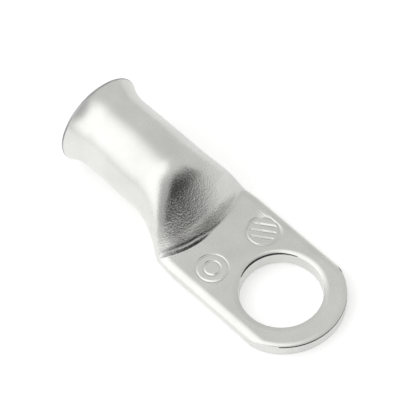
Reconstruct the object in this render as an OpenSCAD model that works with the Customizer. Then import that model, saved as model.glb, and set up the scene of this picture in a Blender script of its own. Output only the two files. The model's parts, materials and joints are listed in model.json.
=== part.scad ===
// Tinned copper cable lug: one length of round tube. One end stays round and takes
// the cable, with a flared mouth. The other end is pressed flat, punched for a stud
// and sheared to a round tip. The nose between them turns the round tube into the
// flat palm, and its perimeter runs evenly from one to the other.
//
// X runs along the lug from the stud hole to the mouth, Z is up. The origin is the
// centre of the stud hole in the underside of the palm.

/* [Tube] */
// Outside diameter of the round barrel
tube_od = 14; // [12:0.1:18]
// Wall of the tube
wall = 1.25; // [0.8:0.05:1.6]

/* [Palm] */
// Width of the flat palm over its round long edges
palm_w = 20.3; // [18.5:0.1:26]
// Distance from the stud hole to the middle of the crease
palm_reach = 15.7; // [13:0.1:30]
// Diameter of the stud hole
stud_hole_d = 13.5; // [6:0.1:15]
// Width of the ring that the punch rolled in round the upper edge of the stud hole
hole_roll_w = 1.1; // [0.3:0.05:1.5]
// Distance from the stud hole to the centre of the tip arc
tip_offset = 0.37; // [0:0.01:3]
// How far the tip arc is larger than half the palm, which leaves a corner at each end
tip_excess = 0.15; // [0.05:0.05:1]
// Width of the band that the shear rolled in along the upper edge of the tip
tip_roll_w = 0.8; // [0.3:0.05:1.5]
// Depth to which punch and shear rolled in the upper edge
roll_d = 0.25; // [0.1:0.01:0.5]

/* [Nose] */
// Slope of the nose above the palm, in degrees
nose_angle = 57; // [35:1:65]
// Width over the tube at the two ends of the crease
crease_w = 19.8; // [15:0.1:20]
// How far the middle of the crease stands forward of its ends
crease_bulge = 2.6; // [0.5:0.1:5]
// How far the middle of the nose stands forward of its sides, above the crease
nose_bulge = 1.8; // [0.5:0.1:5]
// Length of the hollow fillet along the crease
crease_fillet = 1.2; // [0.4:0.1:2.5]
// Length over which the top of the nose rounds into the barrel
crown_blend = 5.5; // [1:0.1:6]
// Height of the gap where the two walls of the tube come together
seam_gap = 0.5; // [0.3:0.05:1]

/* [Barrel] */
// Length of the straight round barrel, from the nose to the flare
barrel_l = 9.9; // [5:0.5:60]
// Length of the flared mouth
flare_l = 4.2; // [1.5:0.1:8]
// How far the flared mouth stands out from the barrel
flare_rise = 1.25; // [0.4:0.05:2.5]
// Radius of the rounded edges of the mouth
lip_round = 0.3; // [0.1:0.05:0.35]

/* [Hidden] */
$fn = 120;

// Degrees in one radian
RAD = 180 / PI;
// Clearance that keeps the facets of the nose inside the true rounds they meet
SEAT = 0.01;
// Overlap of a cut past the face it goes through
CUT = 1;
// Steps across the flat top of a section, down each of its sides, and along the nose
TOP_STEPS = 8;
SIDE_STEPS = 14;
LEAD_STEPS = 3;
NOSE_STEPS = 22;
// Steps along the arc of the flare, and round each edge of its lip
FLARE_STEPS = 16;
LIP_STEPS = 6;
// Arc of the round barrel that comes from the flat top of the palm, in radians
SHOULDER = 0.6;
// Share of the rise over which the bulge of the crease goes over into that of the nose
BULGE_SHARE = 0.25;
// Flat run before the middle of the crease, where the palm meets the nose
LEAD = 0.8;
// Round run between the last slope at the sides of the nose and the barrel
TAIL = 0.3;

tube_r = tube_od / 2;
bore_r = tube_r - wall;
palm_t = 2 * wall;
edge_r = wall;
palm_flat = palm_w / 2 - edge_r;
crease_flat = crease_w / 2 - edge_r;
tip_r = palm_w / 2 + tip_excess;

// The nose: share of the rise per millimetre, its length along the top, and its ends
nose_rate = tan(nose_angle) / (tube_od - palm_t);
nose_l = 1 / nose_rate + (crease_fillet + crown_blend) / 2;
nose_x = palm_reach - LEAD;
barrel_x = palm_reach + nose_l + nose_bulge + TAIL;
// Set back of the hollow, which keeps the full wall on the slope
hollow_back = wall * tan(nose_angle / 2);
seam_share = seam_gap / 2 / bore_r;

// The flare: an arc that starts along the barrel
flare_r = (flare_l * flare_l + flare_rise * flare_rise) / (2 * flare_rise);
flare_angle = asin(flare_l / flare_r);

// Share of the rise, from 0 on the palm to 1 on the barrel, at a distance past the crease
function rise(x) =
    x <= 0 ? 0 :
    x < crease_fillet ? nose_rate * x * x / (2 * crease_fillet) :
    x < nose_l - crown_blend ? nose_rate * (x - crease_fillet / 2) :
    x < nose_l ? 1 - nose_rate * pow(nose_l - x, 2) / (2 * crown_blend) :
    1;

// Set back of the sides, which goes over from that of the crease to that of the nose
function bulge(share) = crease_bulge + (nose_bulge - crease_bulge) * min(1, share / BULGE_SHARE);

// Distance past the crease at which the nose has a share of its rise, on the fillet or slope
function rise_at(share) =
    share < nose_rate * crease_fillet / 2 ?
    sqrt(2 * crease_fillet * share / nose_rate) :
    share / nose_rate + crease_fillet / 2;

// Point of a flat-sided round, at a distance d round it from the middle of its top
function round_point(flat, r, d) =
    d <= flat ? [d, 2 * r] :
    d <= flat + PI * r ? [flat + r * sin((d - flat) / r * RAD), r + r * cos((d - flat) / r * RAD)] :
    [2 * flat + PI * r - d, 0];

// One half of a section, from the middle of its top to the middle of its bottom
function half_section(flat, r, share) =
    let(half = 2 * flat + PI * r, top = flat + r * SHOULDER * share)
    [
        for (i = [0:TOP_STEPS]) round_point(flat, r, top * i / TOP_STEPS),
        for (i = [1:SIDE_STEPS]) round_point(flat, r, top + (half - 2 * top) * i / SIDE_STEPS),
        for (i = [1:TOP_STEPS]) round_point(flat, r, half - top + top * i / TOP_STEPS)
    ];

// Whole section at x, standing on z, with its sides set back by bulge
function section(x, z, flat, r, share, bulge) =
    let(half = half_section(flat, r, share), last = len(half) - 1)
    [
        for (i = [0:2 * last - 1])
            let(p = half[i <= last ? i : 2 * last - i], y = i <= last ? p[0] : -p[0])
            [x + bulge * pow(y / (flat + r), 2), y, z + p[1]]
    ];

// Section of the outside of the nose, and of its hollow, at a share of the rise
function outer_section(x, share, bulge) =
    let(flat = (crease_flat - SEAT) * (1 - share), r = edge_r + (tube_r - SEAT - edge_r) * share)
    section(x, SEAT * share, flat, r, share, bulge);

function hollow_section(x, share, bulge) =
    section(x, wall - 2 * SEAT * share, crease_flat * (1 - share), (bore_r + 2 * SEAT) * share, share, bulge);

// Sections along the flat run up to the crease, where the palm starts to draw in
lead_sections = [
    for (i = [0:LEAD_STEPS - 1])
        let(f = i / LEAD_STEPS, flat = palm_flat - (palm_flat - crease_flat) * f * f - SEAT)
        section(nose_x + LEAD * f, 0, flat, edge_r, 0, crease_bulge * f)
];

// Sections along the nose, and the plane one where it meets the barrel
nose_sections = [
    for (i = [0:NOSE_STEPS])
        let(x = nose_l * i / NOSE_STEPS)
        outer_section(palm_reach + x, rise(x), bulge(rise(x))),
    outer_section(barrel_x, 1, 0)
];

// Sections of the hollow, from the barrel back to the seam
hollow_start = rise_at(seam_share);
hollow_sections = [
    hollow_section(barrel_x, 1, 0),
    for (i = [NOSE_STEPS:-1:0])
        let(x = hollow_start + (nose_l - hollow_start) * i / NOSE_STEPS)
        hollow_section(palm_reach + hollow_back + x, rise(x), bulge(rise(x)) * (1 - pow(rise(x), 4) / 2))
];

// Faces that close a section of n points, each joining two points of its upper half to
// the two below them; base is the section's first point
function web(base, n) =
    let(half = n / 2)
    [
        for (i = [0:half / 2 - 1], side = [-1, 1])
            let(
                a = base + (n + side * i) % n,
                b = base + (n + side * (i + 1)) % n,
                c = base + (n + side * (half - i)) % n,
                d = base + (n + side * (half - i - 1)) % n,
                faces = b == d ? [[a, b, c]] : [[a, b, c], [b, d, c]]
            )
            each [for (f = faces) side > 0 ? f : turned(f)]
    ];

// The same face, seen from its other side
function turned(face) = [for (i = [len(face) - 1:-1:0]) face[i]];

// Skin over a list of sections that all have as many points, closed at both ends
module skin(sections) {
    n = len(sections[0]);
    rows = len(sections);
    walls = [
        for (k = [0:rows - 2], i = [0:n - 1])
            let(a = k * n + i, b = k * n + (i + 1) % n)
            each [[a, b, a + n], [b, b + n, a + n]]
    ];
    polyhedron(
        [for (s = sections) each s],
        concat([for (f = web(0, n)) turned(f)], walls, web(n * (rows - 1), n))
    );
}

// Outside of the nose, its end face round the bore, and the hollow behind it
module nose() {
    color("silver")
    skin(concat(lead_sections, nose_sections, hollow_sections));
}

// Section of the palm, with its long edges left round by the flattened tube
module palm_section() {
    translate([-palm_flat, 0]) square([2 * palm_flat, palm_t]);
    for (side = [-1, 1]) translate([side * palm_flat, edge_r]) circle(edge_r);
}

// Radius of the arc that rolls an edge in by roll_d over a width
function roll_r(width) = (width * width + roll_d * roll_d) / (2 * roll_d);

// Outline of the sheared tip, as a turned blank with its upper edge rolled in
module tip_blank() {
    flat_r = tip_r - tip_roll_w;
    rotate_extrude() intersection() {
        square([tip_r, palm_t]);
        union() {
            square([flat_r, palm_t]);
            translate([flat_r, palm_t - roll_r(tip_roll_w)]) circle(roll_r(tip_roll_w));
        }
    }
}

// Hole for the stud, with its upper edge rolled in
module stud_hole() {
    hole_r = stud_hole_d / 2;
    ring_r = hole_r + hole_roll_w;
    translate([0, 0, -CUT]) cylinder(r = hole_r, h = palm_t + 2 * CUT);
    translate([0, 0, palm_t - roll_d])
    rotate_extrude() difference() {
        square([ring_r, roll_d + CUT]);
        translate([ring_r, roll_d - roll_r(hole_roll_w)]) circle(roll_r(hole_roll_w));
    }
}

// Flat palm from the tip to the nose
module palm() {
    color("silver")
    difference() {
        intersection() {
            translate([nose_x, 0, 0])
            rotate([90, 0, -90])
            linear_extrude(nose_x + tip_offset + tip_r + CUT) palm_section();
            union() {
                translate([-tip_offset, 0, 0]) tip_blank();
                translate([-tip_offset, -palm_w, 0]) cube([nose_x + tip_offset + CUT, 2 * palm_w, palm_t]);
            }
        }
        stud_hole();
    }
}

// Points on an arc about a centre, over the angles from start to end
function arc_points(centre, r, start, end, steps) = [
    for (i = [0:steps])
        let(angle = start + (end - start) * i / steps)
        centre + r * [cos(angle), sin(angle)]
];

// Angle about the flare's centre at which the wall, at radius r, goes over into its lip
function lip_start(r) = 180 - flare_angle + asin(lip_round / r);

// One rounded edge of the mouth, at radius r about the flare's centre
function lip_points(centre, r, start, end) =
    arc_points(centre + r * [cos(lip_start(r)), sin(lip_start(r))], lip_round, start, end, LIP_STEPS);

// Wall of the barrel and its flared mouth, as turned about the barrel's axis
module barrel_profile() {
    centre = [tube_r + flare_r, barrel_l];
    inner_r = flare_r + wall - lip_round;
    outer_r = flare_r + lip_round;
    face = 90 - flare_angle;
    polygon([
        [bore_r, 0],
        each arc_points(centre, flare_r + wall, 180, lip_start(inner_r), FLARE_STEPS),
        each lip_points(centre, inner_r, lip_start(inner_r), face),
        each lip_points(centre, outer_r, face, lip_start(outer_r) - 180),
        each arc_points(centre, flare_r, lip_start(outer_r), 180, FLARE_STEPS),
        [tube_r, 0]
    ]);
}

// Round barrel with the cable bore and the flared mouth
module barrel() {
    color("silver")
    translate([barrel_x, 0, tube_r])
    rotate([0, 90, 0])
    rotate_extrude() barrel_profile();
}

// The whole lug, one piece of tube
module cable_lug() {
    palm();
    nose();
    barrel();
}

cable_lug();
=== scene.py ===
"""Looks, light and camera of a tinned copper cable lug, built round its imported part.

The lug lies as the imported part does: X runs along it from the stud hole to the mouth, Z is up, and
the origin is the centre of the stud hole in the underside of the palm. The skin is worked out in
millimetres and scaled to metres when it is finished.
"""

import json
import logging
import math
from dataclasses import dataclass
from enum import Enum
from typing import Callable

import bmesh
import bpy
from bmesh.types import BMesh, BMFace, BMVert
from mathutils import Matrix, Vector

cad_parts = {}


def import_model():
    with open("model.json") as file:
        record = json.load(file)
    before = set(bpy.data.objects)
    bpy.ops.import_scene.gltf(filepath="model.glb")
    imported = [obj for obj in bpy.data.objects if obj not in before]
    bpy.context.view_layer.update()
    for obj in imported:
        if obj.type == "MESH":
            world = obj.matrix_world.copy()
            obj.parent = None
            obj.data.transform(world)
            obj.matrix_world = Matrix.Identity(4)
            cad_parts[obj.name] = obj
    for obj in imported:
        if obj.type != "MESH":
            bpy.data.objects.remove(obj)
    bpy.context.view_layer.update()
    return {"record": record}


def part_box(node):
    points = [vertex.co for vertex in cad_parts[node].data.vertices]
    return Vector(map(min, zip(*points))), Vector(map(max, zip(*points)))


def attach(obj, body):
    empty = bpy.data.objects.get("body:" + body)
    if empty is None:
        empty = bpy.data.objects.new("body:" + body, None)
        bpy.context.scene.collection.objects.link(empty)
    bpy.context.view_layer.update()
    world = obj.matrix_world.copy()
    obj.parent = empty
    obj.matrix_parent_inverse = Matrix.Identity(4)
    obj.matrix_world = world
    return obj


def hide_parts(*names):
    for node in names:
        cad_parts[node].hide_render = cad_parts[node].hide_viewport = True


LOG = logging.getLogger("cable_lug")
NODE = "cable_lug"
MM = 0.001
Color = tuple[float, float, float]

# How close to a flat face a vertex on it lies, in millimetres
ON_FACE = 1e-4
# Power of a share that keeps most of a change close to one end of a run
STEEP = 4
# Ends of the wall that was drawn over the press, along X: where its peel starts and where it is full
DRAWN = ((14 * MM, 17 * MM), (26 * MM, 20 * MM))


class Finish(Enum):
    """Which finish a face of the lug has, by the number of its material slot."""

    SKIN = 0
    SHEARED = 1
    BORE = 2
    EDGE = 3
    # Near-black finish that paints shade into the tip's groove and onto the stud hole's torn ledge; it
    # is not a colour that the tin has
    CREVICE = 4


def blend(value: float, low: float, high: float) -> float:
    """Smooth step from 0 at low to 1 at high.

    Args:
        value: Where the step is read.
        low: Value at which the step starts.
        high: Value at which the step ends.

    Returns:
        The height of the step, from 0 to 1.
    """
    share = min(1.0, max(0.0, (value - low) / (high - low)))
    return share * share * (3 - 2 * share)


def hump(share: float) -> float:
    """A hump that is 0 at the shares 0 and 1, and has its top of 1 at a third."""
    return 27 / 4 * share * (1 - share) ** 2


def extrude_loop(
    bm: BMesh,
    loop: list[BMVert],
    place: Callable[[int], Vector],
    finish: Finish = Finish.SKIN,
    closed: bool = True,
) -> list[BMVert]:
    """Extrudes a loop of vertices by one step.

    Args:
        bm: The mesh that is being built.
        loop: The vertices of the loop, in order.
        place: Gives the place of the new vertex with an index.
        finish: Finish of the new faces.
        closed: Whether the loop's last vertex joins its first.

    Returns:
        The new loop, in the same order.
    """
    following = loop[1:] + loop[:1] if closed else loop[1:]
    edges = [bm.edges.get(pair) for pair in zip(loop, following)]
    made = bmesh.ops.extrude_edge_only(bm, edges=edges)["geom"]
    fresh = {v for v in made if isinstance(v, BMVert)}
    for face in made:
        if isinstance(face, BMFace):
            face.material_index = finish.value
    grown = [next(e.other_vert(v) for e in v.link_edges if e.other_vert(v) in fresh) for v in loop]
    for index, vert in enumerate(grown):
        vert.co = place(index)
    return grown


@dataclass(frozen=True)
class Tube:
    """The tube that the lug is pressed from, in millimetres.

    Attributes:
        outer_r: Radius of its outside, and the height of its axis.
        bore_r: Radius of its bore.
    """

    outer_r: float
    bore_r: float

    @property
    def wall(self) -> float:
        """Thickness of the tube's wall."""
        return self.outer_r - self.bore_r


@dataclass(frozen=True)
class Net:
    """Steps of the net that the skin is made of.

    Attributes:
        top: Steps from the middle of a section's top to its edge.
        side: Steps down one side of a section, an even number.
        edge: Steps along one long edge of the palm.
        tip: Steps round the sheared tip.
        face: Steps over the palm's upper face, from the stud hole to its outline.
        back: Steps over the palm's underside.
        roll: Steps over an edge that the punch or the shear rolled in.
        nose: Steps along the nose.
        hollow: Steps along the hollow in the nose.
        tail: Steps over which the sides of the nose join the barrel.
        straight: Steps along the straight barrel.
        flare: Steps along the flare.
        lip: Steps round each edge of the mouth's lip.
        gather: How strongly the steps along the nose gather at the crease.
        shoulder: Arc of the round section that a section's flat top turns into, in radians.
    """

    top: int = 40
    side: int = 40
    edge: int = 36
    tip: int = 72
    face: int = 34
    back: int = 8
    roll: int = 8
    nose: int = 80
    hollow: int = 24
    tail: int = 3
    straight: int = 14
    flare: int = 24
    lip: int = 6
    gather: float = 1.5
    shoulder: float = 0.6

    @property
    def half(self) -> int:
        """Steps from the middle of a section's top to the middle of its bottom."""
        return 2 * self.top + self.side

    @property
    def ring(self) -> int:
        """Steps round a whole section."""
        return 2 * self.half


@dataclass(frozen=True)
class Section:
    """A flat-sided round section of the tube.

    Attributes:
        flat: Half the width of its flat top.
        r: Radius of its round sides.
        share: How far it is from the flat palm, at 0, to the round barrel, at 1.
        squat: Factor on the width of its round sides.
        square: How much fuller its upper corners are than round ones, from 0 to 1.
        base: Height on which it stands.
        wide: Factor on its width.
        high: Factor on its height.
    """

    flat: float
    r: float
    share: float = 0.0
    squat: float = 1.0
    square: float = 0.0
    base: float = 0.0
    wide: float = 1.0
    high: float = 1.0

    def point(self, net: Net, index: int) -> tuple[float, float]:
        """Place of one vertex of the section.

        Args:
            net: Steps of the net.
            index: Number of the vertex, from the middle of the top over the +Y side.

        Returns:
            Its place across the lug and its height.
        """
        step = index if index <= net.half else net.ring - index
        girth = 2 * self.flat + math.pi * self.r
        top = self.flat + self.r * net.shoulder * self.share
        if step <= net.top:
            run = top * step / net.top
        elif step <= net.top + net.side:
            run = top + (girth - 2 * top) * (step - net.top) / net.side
        else:
            run = girth - top * (net.half - step) / net.top
        if run <= self.flat:
            y, z = run, 2 * self.r
        elif run <= self.flat + math.pi * self.r:
            turn = (run - self.flat) / self.r
            out, up = math.sin(turn), math.cos(turn)
            if up > 0:
                out, up = out ** (1 - self.square), up ** (1 - self.square)
            y, z = self.flat + self.squat * self.r * out, self.r + self.r * up
        else:
            y, z = girth - run, 0.0
        side = 1 if index <= net.half else -1
        return side * y * self.wide, self.base + z * self.high


@dataclass
class Palm:
    """The flat palm, with its stud hole and its sheared tip.

    Attributes:
        tube: The tube, two walls of which make the palm.
        net: Steps of the net.
        hole_r: Radius of the stud hole.
        half_width: Half the width over the round long edges.
        tip_reach: Distance from the stud hole to the end of the tip.
        joint_x: Where the palm meets the nose.
        tip_excess: How far the tip's arc is larger than half the palm.
        hole_roll: Width of the ring that the punch rolled in round the hole.
        tip_roll: Width of the band that the shear rolled in along the tip.
        roll_depth: Depth to which the upper edges are rolled in.
        burr_round: Radius that is left on the lower edges.
        hole_lean: How much wider the stud hole is at its top.
        ledge: Least width of the ledge below the rolled ring.
        tear: Width of the ledge where the punch tore it.
        tear_turns: Angles about the hole where the tear starts, is full, fades and ends, in degrees.
        ledge_dark: Width of the ledge from which it gets the near-black finish of painted shade.
        ledge_high: How far the ledge rises outwards.
        edge_run: Width over which the long edges round off.
        groove: Depth of the line that the shear leaves below the rolled edge of the tip.
        groove_high: Height of that line.
        groove_fade: Length over which the line runs out at the +Y edge.
        groove_dark: Share of its depth from which the line gets the near-black finish of painted shade.
        groove_slope: Factor on its height that takes in the slope below it.
        groove_slack: Factor on its depth within which a face still belongs to the wall.
    """

    tube: Tube
    net: Net
    hole_r: float
    half_width: float
    tip_reach: float
    joint_x: float = 14.9
    tip_excess: float = 0.15
    hole_roll: float = 1.1
    tip_roll: float = 0.8
    roll_depth: float = 0.25
    burr_round: float = 0.12
    hole_lean: float = 0.15
    ledge: float = 0.06
    tear: float = 0.36
    tear_turns: tuple[float, float, float, float] = (-80.0, -30.0, -5.0, 35.0)
    ledge_dark: float = 0.12
    ledge_high: float = 0.03
    edge_run: float = 1.7
    groove: float = 0.12
    groove_high: float = 0.2
    groove_fade: float = 2.0
    groove_dark: float = 0.25
    groove_slope: float = 1.4
    groove_slack: float = 1.1

    @property
    def thick(self) -> float:
        """Thickness of the palm."""
        return 2 * self.tube.wall

    @property
    def wall_top(self) -> float:
        """Height of the top of the sheared walls."""
        return self.thick - self.roll_depth

    @property
    def around(self) -> int:
        """Steps round the palm's outline."""
        return 2 * (self.net.top + self.net.edge) + self.net.tip

    @property
    def flat(self) -> float:
        """Half the width of the palm's flat face."""
        return self.half_width - self.edge_run

    @property
    def tip_r(self) -> float:
        """Radius of the tip's arc."""
        return self.half_width + self.tip_excess

    @property
    def tip_x(self) -> float:
        """Where the centre of the tip's arc lies along the lug."""
        return self.tip_r - self.tip_reach

    def rolled_in(self, z: float, width: float) -> float:
        """How far a rolled edge stands back from its sheared wall.

        Args:
            z: Height above the underside.
            width: Width of the rolled band.

        Returns:
            The distance from the wall.
        """
        arc_r = (width * width + self.roll_depth * self.roll_depth) / (2 * self.roll_depth)
        if z > self.wall_top:
            rise = z - self.thick + arc_r
            return width - math.sqrt(max(0.0, arc_r * arc_r - rise * rise))
        if z < self.burr_round:
            drop = self.burr_round - z
            return self.burr_round - math.sqrt(max(0.0, self.burr_round**2 - drop**2))
        return 0.0

    def arc_x(self, radius: float, y: float) -> float:
        """Where an arc of the tip lies along the lug, at a distance y from its middle."""
        return self.tip_x - math.sqrt(radius * radius - y * y)

    def grooved(self, y: float, z: float) -> float:
        """Depth of the line in the wall of the tip, at a place across the lug and a height."""
        if not self.wall_top - self.groove_high < z < self.wall_top:
            return 0.0
        return self.groove * (1 - blend(y, self.flat - self.groove_fade, self.flat))

    def edge_angle(self, index: int) -> float:
        """Angle about the stud hole at which an outline vertex of the upper face lies.

        Args:
            index: Number of the vertex, from the middle of the joint over the +Y side.

        Returns:
            The angle from the X axis, up to pi.
        """
        joint = math.atan2(self.flat, self.joint_x)
        corner = math.atan2(self.flat, self.arc_x(self.tip_r - self.tip_roll, self.flat))
        if index <= self.net.top:
            return math.atan2(self.flat * index / self.net.top, self.joint_x)
        if index <= self.net.top + self.net.edge:
            return joint + (corner - joint) * (index - self.net.top) / self.net.edge
        share = (index - self.net.top - self.net.edge) / (self.net.tip / 2)
        return corner + (math.pi - corner) * share

    def outline(self, index: int, level: float) -> Vector:
        """A point on the outline of the palm.

        Args:
            index: Number of the vertex, from the middle of the joint over the +Y side.
            level: 0 on the upper face, 1 on the underside, and between them down the side.

        Returns:
            The point.
        """
        net = self.net
        side = 1 if index <= self.around / 2 else -1
        step = index if side > 0 else self.around - index
        turn = math.pi * level
        z = self.tube.wall * (1 + math.cos(turn))
        half = self.flat + self.edge_run * math.sin(turn)
        if step < net.top:
            return Vector((self.joint_x, side * self.flat * step / net.top, z))
        radius = self.tip_r - self.rolled_in(z, self.tip_roll)
        angle = self.edge_angle(step)
        upper_r = self.tip_r - self.tip_roll
        if step <= net.top + net.edge:
            upper = self.arc_x(upper_r, self.flat)
            share = (self.flat / math.tan(angle) - upper) / (self.joint_x - upper)
            corner = self.arc_x(radius, half)
            return Vector((corner + (self.joint_x - corner) * share, side * half, z))
        along = self.tip_x * math.cos(angle)
        reach = along + math.sqrt(along * along - self.tip_x**2 + upper_r**2)
        y = half * reach * math.sin(angle) / self.flat
        return Vector((self.arc_x(radius - self.grooved(side * y, z), y), side * y, z))

    def hole_angle(self, index: int) -> float:
        """Angle about the stud hole of an outline vertex, from -pi to pi."""
        if index <= self.around / 2:
            return self.edge_angle(index)
        return -self.edge_angle(self.around - index)

    def torn(self, angle: float) -> float:
        """Width of the ledge at an angle about the stud hole, in radians."""
        turn = math.degrees(angle)
        start, full, fade, end = self.tear_turns
        share = blend(turn, start, full) * (1 - blend(turn, fade, end))
        return self.ledge + (self.tear - self.ledge) * share

    def round_hole(self, index: int, radius: float, z: float) -> Vector:
        """A point on a circle round the stud hole, in line with an outline vertex."""
        angle = self.hole_angle(index)
        return Vector((radius * math.cos(angle), radius * math.sin(angle), z))

    def rolled_ring(self, index: int, share: float) -> Vector:
        """A point on the rolled ring round the stud hole.

        Args:
            index: Number of the vertex.
            share: How far it is from the ledge, at 0, to the flat face, at 1.

        Returns:
            The point.
        """
        foot = self.hole_r + self.hole_lean + self.torn(self.hole_angle(index))
        run = self.hole_r + self.hole_roll - foot
        drop = self.roll_depth - self.ledge_high
        arc_r = (run * run + drop * drop) / (2 * drop)
        back = run * (1 - share)
        z = self.thick - arc_r + math.sqrt(arc_r * arc_r - back * back)
        return self.round_hole(index, foot + run * share, z)

    def dress_shear(self, face: BMFace) -> None:
        """Gives the sheared walls their finish, and paints shade as dark lines at their tops.

        Args:
            face: A face of the palm.
        """
        centre = face.calc_center_median()
        # The stud hole's ledge keeps its painted shade only where the ledge is torn wide; elsewhere it
        # becomes plain sheared tin
        if face.material_index == Finish.CREVICE.value:
            if self.torn(math.atan2(centre.y, centre.x)) < self.ledge_dark:
                face.material_index = Finish.SHEARED.value
            return
        away = math.hypot(centre.x - self.tip_x, centre.y)
        if centre.x >= self.tip_x or centre.z > self.wall_top:
            return
        if away < self.tip_r - self.groove * self.groove_slack:
            return
        # Faces in the tip's real but shallow groove get the near-black finish: the groove's dark line
        # is mostly painted shade
        dark = self.groove * self.groove_dark
        near_top = self.wall_top - self.groove_high * self.groove_slope < centre.z
        deep = self.grooved(centre.y, self.wall_top - self.groove_high / 2) > dark
        in_groove = near_top and deep and away < self.tip_r - dark
        face.material_index = (Finish.CREVICE if in_groove else Finish.SHEARED).value

    def grow_hole(self, bm: BMesh, ring: list[BMVert]) -> list[BMVert]:
        """Builds the wall of the stud hole, its ledge, which is given painted shade, and the rolled
        ring round it.

        Args:
            bm: The mesh that is being built.
            ring: The ring round the hole in the underside.

        Returns:
            The ring where the flat upper face starts.
        """
        net = self.net
        for k in range(1, net.lip + 1):
            turn = math.pi / 2 * k / net.lip
            radius = self.hole_r + self.burr_round * (1 - math.sin(turn))
            z = self.burr_round * (1 - math.cos(turn))
            ring = extrude_loop(bm, ring, lambda i: self.round_hole(i, radius, z), Finish.SHEARED)
        top_r = self.hole_r + self.hole_lean
        ring = extrude_loop(
            bm, ring, lambda i: self.round_hole(i, top_r, self.wall_top), Finish.SHEARED
        )
        # The ledge's faces take the near-black finish of painted shade
        ring = extrude_loop(bm, ring, lambda i: self.rolled_ring(i, 0.0), Finish.CREVICE)
        for k in range(1, net.roll + 1):
            ring = extrude_loop(bm, ring, lambda i: self.rolled_ring(i, k / net.roll))
        return ring

    def spread(
        self, bm: BMesh, ring: list[BMVert], radius: float, level: float, steps: int
    ) -> list[BMVert]:
        """Extrudes a flat face from a ring round the stud hole out to the outline.

        Args:
            bm: The mesh that is being built.
            ring: The ring round the hole.
            radius: Its radius.
            level: 0 on the upper face, 1 on the underside.
            steps: Steps over the face.

        Returns:
            The ring along the outline.
        """
        z = self.thick * (1 - level)
        for k in range(1, steps + 1):
            ring = extrude_loop(
                bm,
                ring,
                lambda i: self.round_hole(i, radius, z).lerp(self.outline(i, level), k / steps),
            )
        return ring

    def grow(self, bm: BMesh) -> list[BMVert]:
        """Builds the palm.

        Args:
            bm: The mesh that is being built.

        Returns:
            The open ring at the joint, in the order of a section's vertices.
        """
        net, total = self.net, self.around
        burr_r = self.hole_r + self.burr_round
        circle = bmesh.ops.create_circle(bm, segments=total, radius=burr_r)["verts"]
        for index, vert in enumerate(circle):
            vert.co = self.round_hole(index, burr_r, 0.0)
        upper = self.grow_hole(bm, circle)
        upper = self.spread(bm, upper, self.hole_r + self.hole_roll, 0.0, net.face)
        lower = self.spread(bm, circle, burr_r, 1.0, net.back)
        first, last = net.top, total - net.top
        chain = upper[first : last + 1]
        sides = [chain]
        for k in range(1, net.side + 1):
            chain = extrude_loop(
                bm, chain, lambda i: self.outline(first + i, k / net.side), Finish.SKIN, closed=False
            )
            sides.append(chain)
        bmesh.ops.weld_verts(bm, targetmap=dict(zip(chain, lower[first : last + 1])))
        for face in bm.faces:
            self.dress_shear(face)
        down = [column[0] for column in sides[1:-1]]
        up = [column[-1] for column in reversed(sides[1:-1])]
        below = lower[first::-1] + lower[: last - 1 : -1]
        return upper[: first + 1] + down + below + up + upper[last:]


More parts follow.
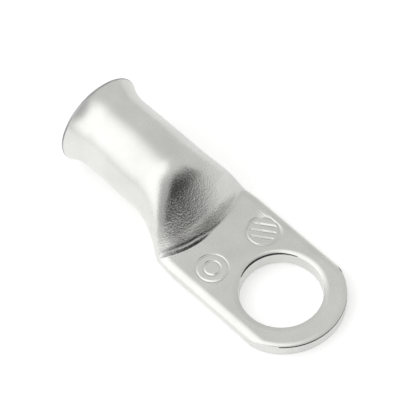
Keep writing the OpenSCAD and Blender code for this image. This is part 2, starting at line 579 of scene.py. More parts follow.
@dataclass
class Nose:
    """The sloping nose, whose sections run evenly from the flat palm to the round barrel.

    Attributes:
        tube: The tube that is pressed.
        net: Steps of the net.
        palm: The palm that it grows from.
        reach: Distance from the stud hole to the middle of the crease.
        crease_width: Width over the tube at the two ends of the crease.
        crease_bulge: How far the middle of the crease stands forward of its ends.
        bulge: How far the middle of the nose stands forward of its sides.
        angle: Slope of the nose, in degrees.
        fillet: Length of the hollow fillet along the crease.
        crown: Length over which the top rounds into the barrel.
        bulge_share: Share of the rise over which one bulge goes over into the other.
        tail: Round run between the sides of the nose and the barrel.
        seam_gap: Height of the gap where the tube's walls come together.
        oval_wide: Share by which the barrel is too wide behind the nose.
        oval_high: Share by which it is too low there.
        oval_from: Share of the nose's length at which it starts to be oval.
        oval_run: Length over which the barrel is round again.
        foot: Height of the small step along the +Y part of the crease.
        foot_run: Length of that step.
        foot_fade: Factor on its length at which the step has run out.
        foot_side: Places across the lug where the step starts and where it is full.
        swell: Height of the swell that the press leaves above the crease.
        swell_from: Distance past the crease at which the swell starts.
        swell_to: Distance at which it has its full height.
        swell_flat: Length over which it keeps that height.
        swell_side: Places across the lug where the swell starts to sink and where it has sunk.
        swell_sink: Share of its height by which it sinks there.
        square: How much fuller than round the upper corners of the nose are.
        hook: How much more sharply the crease turns back on the +Y side.
        hollow_ease: Share of the bulge that the hollow loses towards the bore.
    """

    tube: Tube
    net: Net
    palm: Palm
    reach: float = 15.45
    crease_width: float = 19.8
    crease_bulge: float = 2.75
    bulge: float = 1.8
    angle: float = 57.0
    fillet: float = 0.9
    crown: float = 5.5
    bulge_share: float = 0.42
    tail: float = 0.3
    seam_gap: float = 0.5
    oval_wide: float = 0.025
    oval_high: float = 0.035
    oval_from: float = 1 / 3
    oval_run: float = 9.0
    foot: float = 0.25
    foot_run: float = 0.45
    foot_fade: float = 2.5
    foot_side: tuple[float, float] = (-1.0, 3.5)
    swell: float = 0.42
    swell_from: float = 0.7
    swell_to: float = 2.1
    swell_flat: float = 0.4
    swell_side: tuple[float, float] = (2.0, 5.5)
    swell_sink: float = 0.6
    square: float = 0.28
    hook: float = 0.6
    hollow_ease: float = 0.5

    @property
    def flat(self) -> float:
        """Half the width at the crease, less one wall."""
        return self.crease_width / 2 - self.tube.wall

    @property
    def rate(self) -> float:
        """Share of the rise that each millimetre along the slope gives."""
        return math.tan(math.radians(self.angle)) / (2 * self.tube.outer_r - 2 * self.tube.wall)

    @property
    def length(self) -> float:
        """Length of the nose along its top."""
        return 1 / self.rate + (self.fillet + self.crown) / 2

    @property
    def end_x(self) -> float:
        """Where the nose ends and the barrel starts."""
        return self.reach + self.length + self.bulge + self.tail

    @property
    def seam_run(self) -> float:
        """Distance past the crease at which the hollow is as high as the gap at the seam."""
        seam = self.seam_gap / 2 / self.tube.bore_r
        if seam < self.rate * self.fillet / 2:
            return math.sqrt(2 * self.fillet * seam / self.rate)
        return seam / self.rate + self.fillet / 2

    def rise(self, run: float) -> float:
        """Share of the rise from palm to barrel, at a distance past the crease."""
        if run <= 0:
            return 0.0
        if run < self.fillet:
            return self.rate * run * run / (2 * self.fillet)
        if run < self.length - self.crown:
            return self.rate * (run - self.fillet / 2)
        if run < self.length:
            return 1 - self.rate * (self.length - run) ** 2 / (2 * self.crown)
        return 1.0

    def set_back(self, share: float) -> float:
        """How far the sides stand back of the middle, at a share of the rise."""
        return self.crease_bulge + (self.bulge - self.crease_bulge) * min(1.0, share / self.bulge_share)

    def oval(self, x: float) -> tuple[float, float]:
        """Factors on the tube's width and height at a place along the lug."""
        squeezed = blend(x, self.reach + self.length * self.oval_from, self.end_x)
        squeezed *= 1 - blend(x, self.end_x, self.end_x + self.oval_run)
        return 1 + self.oval_wide * squeezed, 1 - self.oval_high * squeezed

    def outer(self, share: float, x: float) -> Section:
        """Section of the tube's outside.

        Args:
            share: Share of the rise from palm to barrel.
            x: Where it lies along the lug.

        Returns:
            The section.
        """
        wide, high = self.oval(x)
        r = self.tube.wall + (self.tube.outer_r - self.tube.wall) * share
        squat = 1 + (self.palm.edge_run / self.tube.wall - 1) * (1 - share) ** STEEP
        return Section(
            flat=self.flat * (1 - share) + r * (1 - squat),
            r=r,
            share=share,
            squat=squat,
            square=self.square * hump(share),
            wide=wide,
            high=high,
        )

    def inner(self, share: float, x: float) -> Section:
        """Section of the hollow, at a share of the rise and a place along the lug."""
        wide, high = self.oval(x)
        return Section(
            flat=self.flat * (1 - share),
            r=self.tube.bore_r * share,
            share=share,
            base=self.tube.wall,
            wide=wide,
            high=high,
        )

    def place(self, section: Section, x: float, bulge: float, index: int) -> Vector:
        """A vertex of a section whose sides are set back in an arc.

        Args:
            section: The section.
            x: Where its middle lies along the lug.
            bulge: How far its sides are set back.
            index: Number of the vertex.

        Returns:
            The place of the vertex.
        """
        y, z = section.point(self.net, index)
        out = y / (section.flat + section.r * section.squat) / section.wide
        low = max(0.0, 1 - section.share / self.bulge_share)
        power = 2 + self.hook * low if out > 0 else 2
        return Vector((x + bulge * abs(out) ** power, y, z))

    def foot_at(self, run: float, y: float) -> float:
        """Height that the step and the swell add to the top of the nose.

        Args:
            run: Distance past the crease.
            y: Place across the lug.

        Returns:
            The height.
        """
        step = blend(run, 0.0, self.foot_run)
        step *= 1 - blend(run, self.foot_run, self.foot_fade * self.foot_run)
        swell = blend(run, self.swell_from, self.swell_to)
        swell *= 1 - blend(run, self.swell_to + self.swell_flat, self.length - self.crown / 2)
        swell *= 1 - self.swell_sink * blend(y, *self.swell_side)
        return self.foot * step * blend(y, *self.foot_side) + self.swell * swell

    def grow_lead(self, bm: BMesh, ring: list[BMVert]) -> list[BMVert]:
        """Extrudes the end of the palm, up to the crease.

        Args:
            bm: The mesh that is being built.
            ring: The ring at the joint.

        Returns:
            The last ring before the crease.
        """
        lead = self.reach - self.palm.joint_x
        squat = self.palm.edge_run / self.tube.wall
        start, end = self.palm.flat, self.outer(0.0, self.reach).flat
        for k in range(1, self.net.roll):
            share = k / self.net.roll
            section = Section(start + (end - start) * share * share, self.tube.wall, squat=squat)
            x = self.palm.joint_x + lead * share
            ring = extrude_loop(
                bm, ring, lambda i: self.place(section, x, self.crease_bulge * share, i)
            )
        return ring

    def grow_slope(self, bm: BMesh, ring: list[BMVert]) -> list[BMVert]:
        """Extrudes the slope of the nose, from the crease to the full height of the tube.

        Args:
            bm: The mesh that is being built.
            ring: The last ring before the crease.

        Returns:
            The ring at the end of the slope.
        """
        for k in range(self.net.nose + 1):
            run = self.length * (k / self.net.nose) ** self.net.gather
            share, x = self.rise(run), self.reach + run
            section = self.outer(share, x)

            def spot(index: int) -> Vector:
                """A vertex of this section, with the step and the swell on its upper half."""
                vert = self.place(section, x, self.set_back(share), index)
                if vert.z > section.r:
                    vert.z += self.foot_at(run, vert.y) * (vert.z / section.r - 1) ** 2
                return vert

            ring = extrude_loop(bm, ring, spot)
        return ring

    def grow(self, bm: BMesh, ring: list[BMVert]) -> list[BMVert]:
        """Extrudes the outside of the nose from the palm.

        Args:
            bm: The mesh that is being built.
            ring: The ring at the joint.

        Returns:
            The ring where the barrel starts.
        """
        ring = self.grow_slope(bm, self.grow_lead(bm, ring))
        for k in range(1, self.net.tail + 1):
            share = k / self.net.tail
            x = self.reach + self.length + (self.bulge + self.tail) * share
            section = self.outer(1.0, x)
            ring = extrude_loop(
                bm, ring, lambda i: self.place(section, x, self.bulge * (1 - share), i)
            )
        return ring

    def close(self, bm: BMesh, ring: list[BMVert]) -> None:
        """Extrudes the hollow behind the bore back to the seam, and closes it.

        Args:
            bm: The mesh that is being built.
            ring: The ring where the bore ends.
        """
        net, start = self.net, self.seam_run
        back = self.tube.wall * math.tan(math.radians(self.angle) / 2)
        for k in range(net.hollow, -1, -1):
            run = start + (self.length - start) * k / net.hollow
            share, x = self.rise(run), self.reach + back + run
            bulge = self.set_back(share) * (1 - self.hollow_ease * share**STEEP)
            section = self.inner(share, x)
            ring = extrude_loop(bm, ring, lambda i: self.place(section, x, bulge, i), Finish.BORE)
        middle = self.tube.wall + self.seam_gap / 2
        ends = [vert.co - Vector((self.seam_gap / 2, 0.0, 0.0)) for vert in ring]
        ring = extrude_loop(bm, ring, lambda i: Vector((*ends[i].xy, middle)), Finish.BORE)
        pairs = {ring[net.half]: ring[0]}
        for index in range(1, net.half // 2):
            for near, far in ((index, net.half - index), (-index, net.half + index)):
                ring[far].co = ring[near].co
                pairs[ring[far]] = ring[near]
        bmesh.ops.weld_verts(bm, targetmap=pairs)


@dataclass
class Barrel:
    """The round barrel, with its flared mouth and its bore.

    Attributes:
        tube: The tube.
        nose: The nose, which says how oval the barrel is behind it.
        net: Steps of the net.
        start_x: Where the barrel starts.
        mouth_x: Where the mouth ends.
        flare_length: Length of the flare.
        flare_rise: How far the mouth stands out from the barrel.
        lip_round: Radius of the mouth's rounded edges.
    """

    tube: Tube
    nose: Nose
    net: Net
    start_x: float
    mouth_x: float
    flare_length: float = 4.2
    flare_rise: float = 1.25
    lip_round: float = 0.3

    @property
    def flare_r(self) -> float:
        """Radius of the flare's arc along the barrel."""
        return (self.flare_length**2 + self.flare_rise**2) / (2 * self.flare_rise)

    @property
    def flare_angle(self) -> float:
        """Angle over which the wall turns out at the mouth, in radians."""
        return math.asin(self.flare_length / self.flare_r)

    @property
    def flare_x(self) -> float:
        """Where the flare starts."""
        angle = self.lip_turn(self.flare_r + self.tube.wall - self.lip_round)
        reach = (self.flare_r + self.tube.wall - self.lip_round) * math.sin(angle) + self.lip_round
        return self.mouth_x - reach

    def lip_turn(self, radius: float) -> float:
        """Angle about the flare's centre of the middle of a rounded edge."""
        return self.flare_angle - math.asin(self.lip_round / radius)

    def ring_at(self, x: float, radius: float, outside: bool) -> Callable[[int], Vector]:
        """Places a ring of the barrel's wall.

        Args:
            x: Where it lies along the lug.
            radius: Its radius.
            outside: Whether it lies on the outside of the wall.

        Returns:
            The function that gives the place of each of its vertices.
        """
        wide, high = self.nose.oval(x)
        span = self.tube.outer_r if outside else self.tube.bore_r
        unit = Section(flat=0.0, r=1.0, share=1.0)

        def place(index: int) -> Vector:
            """A vertex of the ring, whose lowest line stays in place where it is oval."""
            y, z = unit.point(self.net, index)
            foot = (self.tube.outer_r - span) + span * high
            return Vector((x, y * radius * wide, foot + (z - 1) * radius * high))

        return place

    def arc(self, radius: float, angle: float) -> tuple[float, float]:
        """A point on the flare, as its place along the lug and its distance from the axis."""
        x = self.flare_x + radius * math.sin(angle)
        return x, self.tube.outer_r + self.flare_r - radius * math.cos(angle)

    def lip(self, radius: float, start: float, end: float) -> list[tuple[float, float]]:
        """Points round one edge of the mouth.

        Args:
            radius: Distance of the edge's centre from the flare's centre.
            start: Direction of the first point, in radians from the axis of the barrel.
            end: Direction of the last point.

        Returns:
            The points, as places along the lug and distances from the axis.
        """
        x, r = self.arc(radius, self.lip_turn(radius))
        turns = [start + (end - start) * k / self.net.lip for k in range(self.net.lip + 1)]
        return [(x + self.lip_round * math.cos(t), r + self.lip_round * math.sin(t)) for t in turns]

    def profile(self) -> list[tuple[float, float]]:
        """Points from the start of the flare's outside, round the lip, to the start of its inside."""
        outer_lip = self.flare_r + self.lip_round
        inner_lip = self.flare_r + self.tube.wall - self.lip_round
        steps = range(1, self.net.flare)
        outside = [
            self.arc(self.flare_r, self.lip_turn(outer_lip) * k / self.net.flare) for k in steps
        ]
        inside = [
            self.arc(self.flare_r + self.tube.wall, self.lip_turn(inner_lip) * k / self.net.flare)
            for k in reversed(steps)
        ]
        face = self.flare_angle
        over = self.lip(outer_lip, math.pi / 2 + self.lip_turn(outer_lip), face)
        under = self.lip(inner_lip, face, self.lip_turn(inner_lip) - math.pi / 2)
        return outside + over + under + inside

    def grow(self, bm: BMesh, ring: list[BMVert]) -> list[BMVert]:
        """Extrudes the barrel to its mouth and the bore back from it.

        Args:
            bm: The mesh that is being built.
            ring: The ring where the barrel starts.

        Returns:
            The ring where the bore ends.
        """
        run, steps = self.flare_x - self.start_x, self.net.straight
        for k in range(1, steps + 1):
            x = self.start_x + run * k / steps
            ring = extrude_loop(bm, ring, self.ring_at(x, self.tube.outer_r, True))
        profile = self.profile()
        for number, (x, radius) in enumerate(profile):
            steps_in = min(number, len(profile) - 1 - number)
            finish = Finish.SKIN if 2 * number < len(profile) else Finish.BORE
            if steps_in >= self.net.flare:
                finish = Finish.EDGE
            ring = extrude_loop(bm, ring, self.ring_at(x, radius, True), finish)
        for k in range(steps + 1):
            x = self.flare_x - run * k / steps
            ring = extrude_loop(bm, ring, self.ring_at(x, self.tube.bore_r, False), Finish.BORE)
        return ring


@dataclass(frozen=True)
class Stamp:
    """A plain mark that is stamped in the palm: a ring with bars or a smaller ring in it.

    Attributes:
        x: Where its centre lies along the lug.
        y: Where its centre lies across the lug.
        radius: Radius of the ring.
        turn: Turn of its bars, in degrees.
        bars: Places of the bars across the ring, as shares of its radius.
        bar_share: Share of the ring's width there that a bar takes up.
        inner: Radius of the smaller ring, or 0 for none.
        line: Half the width of a line.
        depth: Depth of a line.
        sharp: Share of a line's half width that has the full depth.
        margin: How far the finer net reaches past the ring, in half widths of a line.
        cuts: Cuts in each edge of the net under the stamp.
    """

    x: float
    y: float
    radius: float
    turn: float = 0.0
    bars: tuple[float, ...] = ()
    bar_share: float = 0.72
    inner: float = 0.0
    line: float = 0.22
    depth: float = 0.13
    sharp: float = 0.3
    margin: float = 3.0
    cuts: int = 3

    def cut(self, x: float, y: float) -> float:
        """Depth of the stamp at a place on the palm.

        Args:
            x: Place along the lug.
            y: Place across the lug.

        Returns:
            The depth, in millimetres.
        """
        dx, dy = x - self.x, y - self.y
        away = math.hypot(dx, dy)
        gaps = [abs(away - self.radius)]
        if self.inner:
            gaps.append(abs(away - self.inner))
        turn = math.radians(self.turn)
        along = dx * math.cos(turn) + dy * math.sin(turn)
        across = dy * math.cos(turn) - dx * math.sin(turn)
        for bar in self.bars:
            half = self.radius * math.sqrt(1 - bar * bar) * self.bar_share
            gaps.append(math.hypot(max(0.0, abs(along) - half), across - bar * self.radius))
        return self.depth * (1 - blend(min(gaps), self.line * self.sharp, self.line))

    def press(self, bm: BMesh, top: float) -> None:
        """Presses the stamp into the upper face of the palm.

        Args:
            bm: The mesh of the lug.
            top: Height of the upper face.
        """
        edges = [e for e in bm.edges if all(self.covers(v.co, top) for v in e.verts)]
        bmesh.ops.subdivide_edges(bm, edges=edges, cuts=self.cuts, use_grid_fill=True)
        for vert in bm.verts:
            if self.covers(vert.co, top):
                vert.co.z -= self.cut(vert.co.x, vert.co.y)

    def covers(self, place: Vector, top: float) -> bool:
        """Whether a place on the palm's upper face lies under the stamp or next to it."""
        away = math.hypot(place.x - self.x, place.y - self.y)
        return abs(place.z - top) < ON_FACE and away < self.radius + self.margin * self.line


@dataclass(frozen=True)
class TinFinish:
    """A tin-plated finish.

    Attributes:
        name: Name of the material.
        color: Colour of clean tin.
        dull: Colour of its duller patches.
        roughness: Lowest and highest roughness.
        grain: Size of its finest grain, in metres.
        grain_depth: Depth of the grain, in metres.
        peel: How much deeper the grain is where the wall was drawn over the press.
        wave: Size of the soft waves in the pressed wall, in metres.
        wave_depth: Depth of the waves, in metres.
        scratches: How strongly scratches show, from 0 to 1.
    """

    name: str
    color: Color
    dull: Color
    roughness: tuple[float, float]
    grain: float = 0.0003
    grain_depth: float = 0.0000025
    peel: float = 0.0
    wave: float = 0.004
    wave_depth: float = 0.00002
    scratches: float = 0.5


@dataclass(frozen=True)
class Wear:
    """The patches and the marks of use that all the finishes share.

    Attributes:
        patch_scale: Dull patches in a metre.
        patch_slope: How sharply a patch sets in.
        patch_offset: Offset after that, which leaves stretches of clean tin.
        scratch_scale: Scratches in a metre, counted across them.
        scratch_turn: Their direction, as turns about X, Y and Z in radians.
        scratch_stretch: Factors on their scale, which is least along them.
        scratch_slope: How sharply a scratch sets in.
        scratch_offset: Offset after that, which leaves only the peaks of their noise.
        scratch_rough: What a scratch adds to the roughness.
        scratch_depth: Depth of a scratch, in metres.
        pit_scale: Pits in a metre.
        pit_size: Radius of a pit, as a share of their spacing.
        pit_depth: Depth of a pit, in metres.
    """

    patch_scale: float = 160.0
    patch_slope: float = 2.2
    patch_offset: float = -0.6
    scratch_scale: float = 900.0
    scratch_turn: tuple[float, float, float] = (0.3, 0.2, 0.7)
    scratch_stretch: tuple[float, float, float] = (0.06, 1.0, 1.0)
    scratch_slope: float = 9.0
    scratch_offset: float = -5.9
    scratch_rough: float = 0.08
    scratch_depth: float = 3e-6
    pit_scale: float = 700.0
    pit_size: float = 0.12
    pit_depth: float = 5e-6


# The finish of each kind of face, in the order of the material slots
FINISHES: dict[Finish, TinFinish] = {
    Finish.SKIN: TinFinish(
        "tin skin", (0.775, 0.775, 0.757), (0.68, 0.68, 0.655), (0.18, 0.32), peel=15.0
    ),
    Finish.SHEARED: TinFinish("sheared tin", (0.77, 0.77, 0.752), (0.65, 0.65, 0.63), (0.25, 0.42)),
    Finish.BORE: TinFinish("tin in the bore", (0.74, 0.74, 0.71), (0.6, 0.6, 0.57), (0.35, 0.55)),
    Finish.EDGE: TinFinish(
        "cut edge", (0.62, 0.62, 0.62), (0.25, 0.25, 0.26), (0.4, 0.6), grain_depth=1e-5
    ),
    # Painted shade: a near-black stand-in for the shade in the tip's groove and on the stud hole's
    # ledge, not dirt or tarnish
    Finish.CREVICE: TinFinish("painted shade in crevices", (0.10, 0.10, 0.10), (0.03, 0.03, 0.03), (0.5, 0.7)),
}


def calculate(
    tree: bpy.types.NodeTree,
    operation: str,
    *values: bpy.types.NodeSocket | float,
    clamp: bool = False,
) -> bpy.types.NodeSocket:
    """Adds a math node.

    Args:
        tree: The tree that it goes into.
        operation: What it does.
        values: Its values or sockets, in order.
        clamp: Whether the result is kept from 0 to 1.

    Returns:
        Its output.
    """
    node = tree.nodes.new("ShaderNodeMath")
    node.operation = operation
    node.use_clamp = clamp
    for socket, value in zip(node.inputs, values):
        if isinstance(value, bpy.types.NodeSocket):
            tree.links.new(value, socket)
        else:
            socket.default_value = value
    return node.outputs["Value"]


def smooth_step(
    tree: bpy.types.NodeTree, value: bpy.types.NodeSocket, low: float, high: float
) -> bpy.types.NodeSocket:
    """Adds a smooth step from 0 at low to 1 at high.

    Args:
        tree: The tree that it goes into.
        value: What the step reads.
        low: Value at which the step starts.
        high: Value at which the step ends.

    Returns:
        Its output.
    """
    node = tree.nodes.new("ShaderNodeMapRange")
    node.interpolation_type = "SMOOTHSTEP"
    node.inputs["From Min"].default_value = low
    node.inputs["From Max"].default_value = high
    tree.links.new(value, node.inputs["Value"])
    return node.outputs["Result"]


def mix_colors(
    tree: bpy.types.NodeTree,
    factor: bpy.types.NodeSocket,
    first: bpy.types.NodeSocket | Color,
    second: Color,
) -> bpy.types.NodeSocket:
    """Adds a mix of two colours.

    Args:
        tree: The tree that it goes into.
        factor: How much of the second colour there is.
        first: The first colour, or a socket that gives it.
        second: The second colour.

    Returns:
        Its output.
    """
    node = tree.nodes.new("ShaderNodeMix")
    node.data_type = "RGBA"
    tree.links.new(factor, node.inputs["Factor"])
    if isinstance(first, bpy.types.NodeSocket):
        tree.links.new(first, node.inputs["A"])
    else:
        node.inputs["A"].default_value = (*first, 1.0)
    node.inputs["B"].default_value = (*second, 1.0)
    return node.outputs["Result"]


def here(tree: bpy.types.NodeTree) -> bpy.types.NodeSocket:
    """Adds the object's own coordinates to a tree."""
    return tree.nodes.new("ShaderNodeTexCoord").outputs["Object"]


class TinShop:
    """Makes the tin finishes, which share their grain and their wear."""

    def __init__(self) -> None:
        """Builds the shared node groups."""
        self.wear = Wear()
        self.relief = self.make_relief()
        self.marks = self.make_marks()

    @staticmethod
    def new_group(name: str, inputs: dict[str, float], outputs: list[str]) -> bpy.types.NodeTree:
        """Makes a node group with float sockets.

        Args:
            name: Name of the group.
            inputs: Names and first values of the inputs.
            outputs: Names of the outputs.

        Returns:
            The group, with its two ends placed.
        """
        group = bpy.data.node_groups.new(name, "ShaderNodeTree")
        for label, value in inputs.items():
            socket = group.interface.new_socket(
                label, in_out="INPUT", socket_type="NodeSocketFloat"
            )
            socket.default_value = value
        for label in outputs:
            group.interface.new_socket(label, in_out="OUTPUT", socket_type="NodeSocketFloat")
        group.nodes.new("NodeGroupInput").name = "In"
        group.nodes.new("NodeGroupOutput").name = "Out"
        return group

    @staticmethod
    def noise(
        tree: bpy.types.NodeTree,
        vector: bpy.types.NodeSocket,
        detail: float,
        scale: bpy.types.NodeSocket | float,
    ) -> bpy.types.NodeSocket:
        """Adds a noise texture.

        Args:
            tree: The tree that it goes into.
            vector: The coordinates that it reads.
            detail: Its octaves.
            scale: Its scale, or a socket that gives it.

        Returns:
            Its output.
        """
        node = tree.nodes.new("ShaderNodeTexNoise")
        node.inputs["Detail"].default_value = detail
        if isinstance(scale, bpy.types.NodeSocket):
            tree.links.new(scale, node.inputs["Scale"])
        else:
            node.inputs["Scale"].default_value = scale
        tree.links.new(vector, node.inputs["Vector"])
        return node.outputs["Fac"]

    @staticmethod
    def relief_of(finish: TinFinish) -> dict[str, float]:
        """Inputs of the relief group for a finish."""
        return {
            "Grain scale": 1 / finish.grain,
            "Grain depth": finish.grain_depth,
            "Peel": finish.peel,
            "Wave scale": 1 / finish.wave,
            "Wave depth": finish.wave_depth,
        }

    def make_relief(self) -> bpy.types.NodeTree:
        """Group for the height of the tin in metres: grain, peel where it was drawn, and waves."""
        group = self.new_group(
            "Tin relief", self.relief_of(FINISHES[Finish.SKIN]), ["Height", "Speckle"]
        )
        ends, out = group.nodes["In"].outputs, group.nodes["Out"].inputs
        place = here(group)
        grain = self.noise(group, place, 3.0, ends["Grain scale"])
        wave = self.noise(group, place, 2.0, ends["Wave scale"])
        split = group.nodes.new("ShaderNodeSeparateXYZ")
        group.links.new(place, split.inputs["Vector"])
        peel = ends["Peel"]
        for start, end in DRAWN:
            step = smooth_step(group, split.outputs["X"], start, end)
            peel = calculate(group, "MULTIPLY", step, peel)
        depth = calculate(group, "MULTIPLY", ends["Grain depth"], calculate(group, "ADD", peel, 1.0))
        fine = calculate(group, "MULTIPLY", grain, depth)
        soft = calculate(group, "MULTIPLY", wave, ends["Wave depth"])
        group.links.new(calculate(group, "ADD", fine, soft), out["Height"])
        group.links.new(grain, out["Speckle"])
        return group

    def make_marks(self) -> bpy.types.NodeTree:
        """Group for the marks of use: fine scratches and small pits, as masks."""
        wear = self.wear
        scales = {"Scratch scale": wear.scratch_scale, "Pit scale": wear.pit_scale}
        group = self.new_group("Tin wear", scales, ["Scratch", "Pit"])
        ends, out = group.nodes["In"].outputs, group.nodes["Out"].inputs
        place = here(group)
        mapping = group.nodes.new("ShaderNodeMapping")
        mapping.inputs["Rotation"].default_value = wear.scratch_turn
        mapping.inputs["Scale"].default_value = wear.scratch_stretch
        group.links.new(place, mapping.inputs["Vector"])
        lines = self.noise(group, mapping.outputs["Vector"], 2.0, ends["Scratch scale"])
        scratch = calculate(
            group, "MULTIPLY_ADD", lines, wear.scratch_slope, wear.scratch_offset, clamp=True
        )
        group.links.new(scratch, out["Scratch"])
        pits = group.nodes.new("ShaderNodeTexVoronoi")
        group.links.new(place, pits.inputs["Vector"])
        group.links.new(ends["Pit scale"], pits.inputs["Scale"])
        pit = calculate(group, "LESS_THAN", pits.outputs["Distance"], wear.pit_size)
        group.links.new(pit, out["Pit"])
        return group

    def make(self, finish: TinFinish) -> bpy.types.Material:
        """Makes the material of a finish.

        Args:
            finish: The finish.

        Returns:
            The material.
        """
        material = bpy.data.materials.new(finish.name)
        material.use_nodes = True
        tree, wear = material.node_tree, self.wear
        shader = tree.nodes["Principled BSDF"]
        shader.inputs["Metallic"].default_value = 1.0
        relief = tree.nodes.new("ShaderNodeGroup")
        relief.node_tree = self.relief
        for name, value in self.relief_of(finish).items():
            relief.inputs[name].default_value = value
        marks = tree.nodes.new("ShaderNodeGroup")
        marks.node_tree = self.marks
        scratch, pit = marks.outputs["Scratch"], marks.outputs["Pit"]

        patches = self.noise(tree, here(tree), 4.0, wear.patch_scale)
        spread = calculate(
            tree, "MULTIPLY_ADD", patches, wear.patch_slope, wear.patch_offset, clamp=True
        )
        tree.links.new(mix_colors(tree, spread, finish.color, finish.dull), shader.inputs["Base Color"])

        low, high = finish.roughness
        rough = calculate(tree, "MULTIPLY_ADD", relief.outputs["Speckle"], high - low, low)
        worn = calculate(tree, "MULTIPLY", scratch, wear.scratch_rough * finish.scratches)
        tree.links.new(calculate(tree, "ADD", rough, worn), shader.inputs["Roughness"])

        groove = calculate(tree, "MULTIPLY", scratch, wear.scratch_depth * finish.scratches)
        dent = calculate(tree, "MULTIPLY", pit, wear.pit_depth * finish.scratches)
        lost = calculate(tree, "ADD", groove, dent)
        height = calculate(tree, "SUBTRACT", relief.outputs["Height"], lost)
        bump = tree.nodes.new("ShaderNodeBump")
        bump.inputs["Strength"].default_value = 1.0
        bump.inputs["Distance"].default_value = 1.0
        tree.links.new(height, bump.inputs["Height"])
        tree.links.new(bump.outputs["Normal"], shader.inputs["Normal"])
        return material


@dataclass
class Lug:
    """The whole lug as one closed skin.

    Attributes:
        palm: The palm.
        nose: The nose.
        barrel: The barrel.
        stamps: The marks on the palm.
        crisp: Angle over which an edge is shaded as a sharp one, in degrees.
    """

    palm: Palm
    nose: Nose
    barrel: Barrel
    stamps: tuple[Stamp, ...] = (
        Stamp(x=10.1, y=-5.8, radius=2.75, turn=35.0, bars=(-0.45, 0.0, 0.45)),
        Stamp(x=10.8, y=5.0, radius=2.6, inner=1.35),
    )
    crisp: float = 50.0

    @classmethod
    def from_frame(cls, record: dict, low: Vector, high: Vector) -> "Lug":
        """Takes the lug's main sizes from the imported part.

        Args:
            record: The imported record.
            low: Lowest corner of the part.
            high: Highest corner of the part.

        Returns:
            The lug.
        """
        mounts = {mount["name"]: mount for mount in record["mounts"]}
        bore = mounts["cable_bore"]
        net = Net()
        tube = Tube(outer_r=bore["pos_m"][2] / MM, bore_r=bore["dims"]["r_mm"])
        palm = Palm(
            tube=tube,
            net=net,
            hole_r=mounts["stud_hole"]["dims"]["r_mm"],
            half_width=high.y / MM,
            tip_reach=-low.x / MM,
        )
        nose = Nose(tube=tube, net=net, palm=palm)
        barrel = Barrel(tube=tube, nose=nose, net=net, start_x=nose.end_x, mouth_x=high.x / MM)
        return cls(palm, nose, barrel)

    def build(self, finishes: list[bpy.types.Material]) -> bpy.types.Object:
        """Builds the skin.

        Args:
            finishes: The materials, in the order of Finish.

        Returns:
            The finished piece.
        """
        bm = bmesh.new()
        ring = self.palm.grow(bm)
        ring = self.nose.grow(bm, ring)
        ring = self.barrel.grow(bm, ring)
        self.nose.close(bm, ring)
        for stamp in self.stamps:
            stamp.press(bm, self.palm.thick)
        bmesh.ops.recalc_face_normals(bm, faces=bm.faces[:])
        for edge in bm.edges:
            edge.smooth = not edge.is_manifold or edge.calc_face_angle(0.0) < math.radians(self.crisp)
        for face in bm.faces:
            face.smooth = True
        bmesh.ops.scale(bm, vec=(MM, MM, MM), verts=bm.verts[:])
        open_edges = sum(not edge.is_manifold for edge in bm.edges)
        mesh = bpy.data.meshes.new("lug_skin")
        bm.to_mesh(mesh)
        bm.free()
        for material in finishes:
            mesh.materials.append(material)
        piece = bpy.data.objects.new("lug_skin", mesh)
        bpy.context.scene.collection.objects.link(piece)
        LOG.info("lug_skin: %d faces, %d open edges", len(mesh.polygons), open_edges)
        return piece


@dataclass(frozen=True)
class Glow:
    """A soft bright or dark stretch of the light tent round the lug.

    Attributes:
        azimuth: Direction of its middle, in degrees from X towards Y.
        elevation: Height of its middle above the horizon, in degrees.
        inner: Half angle over which it is even, in degrees.
        outer: Half angle at which it has faded out, in degrees.
        color: Its colour and brightness.
    """

    azimuth: float
    elevation: float
    inner: float
    outer: float
    color: Color


def direction(azimuth: float, elevation: float) -> Vector:
    """Unit vector towards an azimuth and an elevation, both in degrees."""
    a, e = math.radians(azimuth), math.radians(elevation)
    return Vector((math.cos(a) * math.cos(e), math.sin(a) * math.cos(e), math.sin(e)))


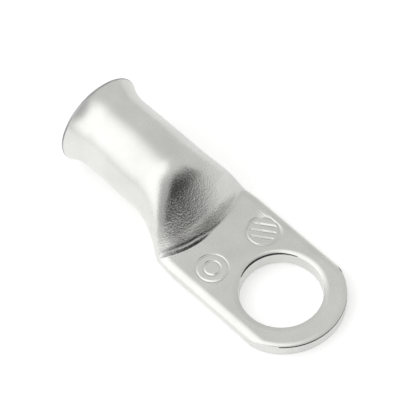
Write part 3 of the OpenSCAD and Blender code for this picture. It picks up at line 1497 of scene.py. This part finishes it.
@dataclass
class Studio:
    """The floor, the light and the camera.

    Attributes:
        low: Lowest corner of the lug.
        high: Highest corner of the lug.
        fill: Colour and brightness of the tent away from its glows.
        glows: Bright and dark stretches of the tent, each laid over the ones before it.
        aim: Where the camera looks, in metres.
        azimuth: Where the camera stands, in degrees from X towards Y.
        elevation: Its height above the horizon, in degrees.
        distance: Its distance from where it looks, in metres.
        roll: Its roll, in degrees.
        lens: Its focal length, in millimetres.
        clip: Nearest and furthest distance that it sees, in metres.
        floor_size: Side of the floor, in metres.
        floor_tone: Grey of the floor.
        floor_glow: Brightness that the floor adds to the light that falls on it.
        floor_rough: Roughness of the floor.
        shade_tone: Grey of the floor on the -Y side, as the lug reflects it.
        shade_glow: Brightness that it adds there.
        shade_run: Width of the strip over which the floor goes over into that, in metres.
    """

    low: Vector
    high: Vector
    fill: Color = (0.715, 0.715, 0.705)
    glows: tuple[Glow, ...] = (
        Glow(75.0, 50.0, 22.0, 62.0, (1.4, 1.4, 1.4)),
        Glow(148.0, 35.0, 15.0, 40.0, (0.5, 0.5, 0.5)),
        Glow(-172.0, 19.0, 15.0, 33.0, (0.02, 0.02, 0.02)),
    )
    aim: tuple[float, float, float] = (0.01721, -0.00034, 0.0076)
    azimuth: float = 138.134
    elevation: float = 56.589
    distance: float = 0.53676
    roll: float = -2.438
    lens: float = 289.18
    clip: tuple[float, float] = (0.01, 10.0)
    floor_size: float = 3.0
    floor_tone: float = 0.9
    floor_glow: float = 0.33
    floor_rough: float = 0.9
    shade_tone: float = 0.79
    shade_glow: float = 0.21
    shade_run: float = 0.02

    def make_floor_finish(self) -> bpy.types.Material:
        """Makes the floor's finish, which the lug reflects darker on its -Y side than it is seen.

        Returns:
            The material.
        """
        material = bpy.data.materials.new("pale floor")
        material.use_nodes = True
        tree = material.node_tree
        shader = tree.nodes["Principled BSDF"]
        shader.inputs["Roughness"].default_value = self.floor_rough
        shader.inputs["Emission Strength"].default_value = 1.0
        split = tree.nodes.new("ShaderNodeSeparateXYZ")
        tree.links.new(here(tree), split.inputs["Vector"])
        side = smooth_step(tree, split.outputs["Y"], -self.shade_run, 0.0)
        seen = tree.nodes.new("ShaderNodeLightPath").outputs["Is Camera Ray"]
        lit = calculate(tree, "MAXIMUM", side, seen)
        tones = {
            "Base Color": (self.shade_tone, self.floor_tone),
            "Emission Color": (self.shade_glow, self.floor_glow),
        }
        for name, (dim, full) in tones.items():
            tone = mix_colors(tree, lit, (dim, dim, dim), (full, full, full))
            tree.links.new(tone, shader.inputs[name])
        return material

    def make_floor(self) -> bpy.types.Object:
        """Lays the pale floor under the tip and the mouth, which the lug rests on.

        Returns:
            The floor.
        """
        bm = bmesh.new()
        bmesh.ops.create_grid(bm, x_segments=1, y_segments=1, size=self.floor_size / 2)
        slope = math.atan2(-self.low.z, self.high.x - self.low.x)
        foot = Vector((self.low.x, 0.0, 0.0))
        bmesh.ops.translate(bm, vec=-foot, verts=bm.verts[:])
        bmesh.ops.rotate(bm, matrix=Matrix.Rotation(slope, 3, "Y"), verts=bm.verts[:])
        bmesh.ops.translate(bm, vec=foot, verts=bm.verts[:])
        mesh = bpy.data.meshes.new("floor")
        bm.to_mesh(mesh)
        bm.free()
        mesh.materials.append(self.make_floor_finish())
        floor = bpy.data.objects.new("floor", mesh)
        bpy.context.scene.collection.objects.link(floor)
        LOG.info("floor: %.1f m wide", self.floor_size)
        return floor

    def make_light(self) -> None:
        """Lights the tent round the lug, with its bright and dark stretches."""
        world = bpy.data.worlds.new("studio")
        world.use_nodes = True
        tree = world.node_tree
        way = tree.nodes.new("ShaderNodeTexCoord").outputs["Generated"]
        tone: bpy.types.NodeSocket | Color = self.fill
        for glow in self.glows:
            dot = tree.nodes.new("ShaderNodeVectorMath")
            dot.operation = "DOT_PRODUCT"
            tree.links.new(way, dot.inputs[0])
            dot.inputs[1].default_value = direction(glow.azimuth, glow.elevation)
            faded, even = (math.cos(math.radians(angle)) for angle in (glow.outer, glow.inner))
            share = smooth_step(tree, dot.outputs["Value"], faded, even)
            tone = mix_colors(tree, share, tone, glow.color)
        tree.links.new(tone, tree.nodes["Background"].inputs["Color"])
        bpy.context.scene.world = world

    def make_camera(self) -> bpy.types.Object:
        """Sets up the camera.

        Returns:
            The camera.
        """
        data = bpy.data.cameras.new("camera")
        data.lens = self.lens
        data.clip_start, data.clip_end = self.clip
        camera = bpy.data.objects.new("camera", data)
        back = direction(self.azimuth, self.elevation)
        camera.location = Vector(self.aim) + back * self.distance
        rolled = Matrix.Rotation(math.radians(self.roll), 3, "Z")
        camera.rotation_euler = (back.to_track_quat("Z", "Y").to_matrix() @ rolled).to_euler()
        bpy.context.scene.collection.objects.link(camera)
        bpy.context.scene.camera = camera
        return camera


def main() -> None:
    """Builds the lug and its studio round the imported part."""
    logging.basicConfig(level=logging.INFO, format="%(name)s: %(message)s")
    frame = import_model()
    low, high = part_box(NODE)
    low, high = Vector(low), Vector(high)
    shop = TinShop()
    finishes = [shop.make(FINISHES[finish]) for finish in Finish]
    lug = Lug.from_frame(frame["record"], low, high).build(finishes)
    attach(lug, "root")
    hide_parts(NODE)
    studio = Studio(low, high)
    studio.make_floor()
    studio.make_light()
    studio.make_camera()
    bpy.context.scene.view_settings.view_transform = "Standard"


if __name__ == "__main__":
    main()
